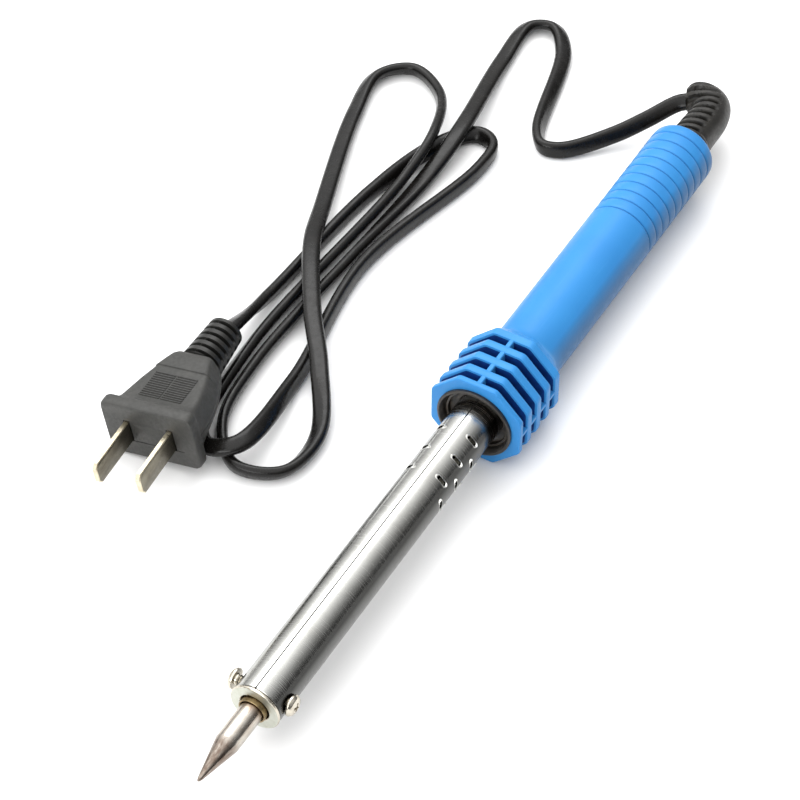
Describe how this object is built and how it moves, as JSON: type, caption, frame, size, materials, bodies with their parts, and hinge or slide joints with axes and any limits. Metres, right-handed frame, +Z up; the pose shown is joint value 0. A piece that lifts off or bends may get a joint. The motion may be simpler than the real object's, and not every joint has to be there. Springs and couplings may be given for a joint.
{
  "type": "soldering iron",
  "caption": "Mains soldering iron: octagonal finger guard on a round grip, vented steel barrel, pointed bit held by side screws, bent cord boot, flat cord and two-pin plug.",
  "frame": {"origin": "centre of the lowest flat of the middle plate of the finger guard, where the iron rests on the table", "axes": "+X along the iron towards the bit tip, +Z up, +Y to the left of +X"},
  "size_m": [0.2923, 0.1126, 0.0261],
  "materials": {
    "blue_plastic": "satin moulded",
    "black_plastic": "moulded",
    "chromed_steel": "polished round the tube",
    "plain_steel": "plain",
    "nickel_plate": "bright nickel plate",
    "bit_plate": "nickel plate over copper",
    "brass": "plain",
    "mica": "sheet",
    "resistance_wire": "drawn wire",
    "ceramic": "unglazed",
    "lead_sleeving": "woven glass",
    "cord_pvc": "glossy",
    "boot_rubber": "satin",
    "plug_pvc": "matte moulded"
  },
  "bodies": {
    "iron": {"handle_shell": "blue_plastic", "front_bush": "black_plastic", "barrel_tube": "chromed_steel", "tube_ring": "plain_steel", "end_collar": "nickel_plate", "heater_sleeve": "brass", "mica_inner": "mica", "heater_winding": "resistance_wire", "mica_outer": "mica", "heater_case": "plain_steel", "rear_insulator": "ceramic", "heater_lead_left": "lead_sleeving", "heater_lead_right": "lead_sleeving", "terminal_left": "brass", "terminal_right": "brass", "cord_core_left": "cord_pvc", "cord_core_right": "cord_pvc", "cord_clip": "black_plastic", "cord_tail": "cord_pvc", "cable_boot": "boot_rubber", "mains_cord": "cord_pvc", "plug_body": "plug_pvc", "plug_bridge": "plug_pvc", "plug_blade_left": "nickel_plate", "plug_blade_right": "nickel_plate", "plug_relief": "plug_pvc"},
    "bit": {"soldering_bit": "bit_plate"},
    "left_screw": {"bit_screw_left": "nickel_plate"},
    "right_screw": {"bit_screw_right": "nickel_plate"}
  },
  "joints": [
    {"name": "bit_slide", "type": "slide", "parent": "iron", "child": "bit", "axis": [1, 0, 0], "range_m": [0, 0.02]},
    {"name": "left_screw_turn", "type": "hinge", "parent": "iron", "child": "left_screw", "pos_m": [0.10995, 0.0068, 0.013], "axis": [0, 1, 0], "range_deg": [0, 720]},
    {"name": "right_screw_turn", "type": "hinge", "parent": "iron", "child": "right_screw", "pos_m": [0.10995, -0.0068, 0.013], "axis": [0, -1, 0], "range_deg": [0, 720]}
  ]
}
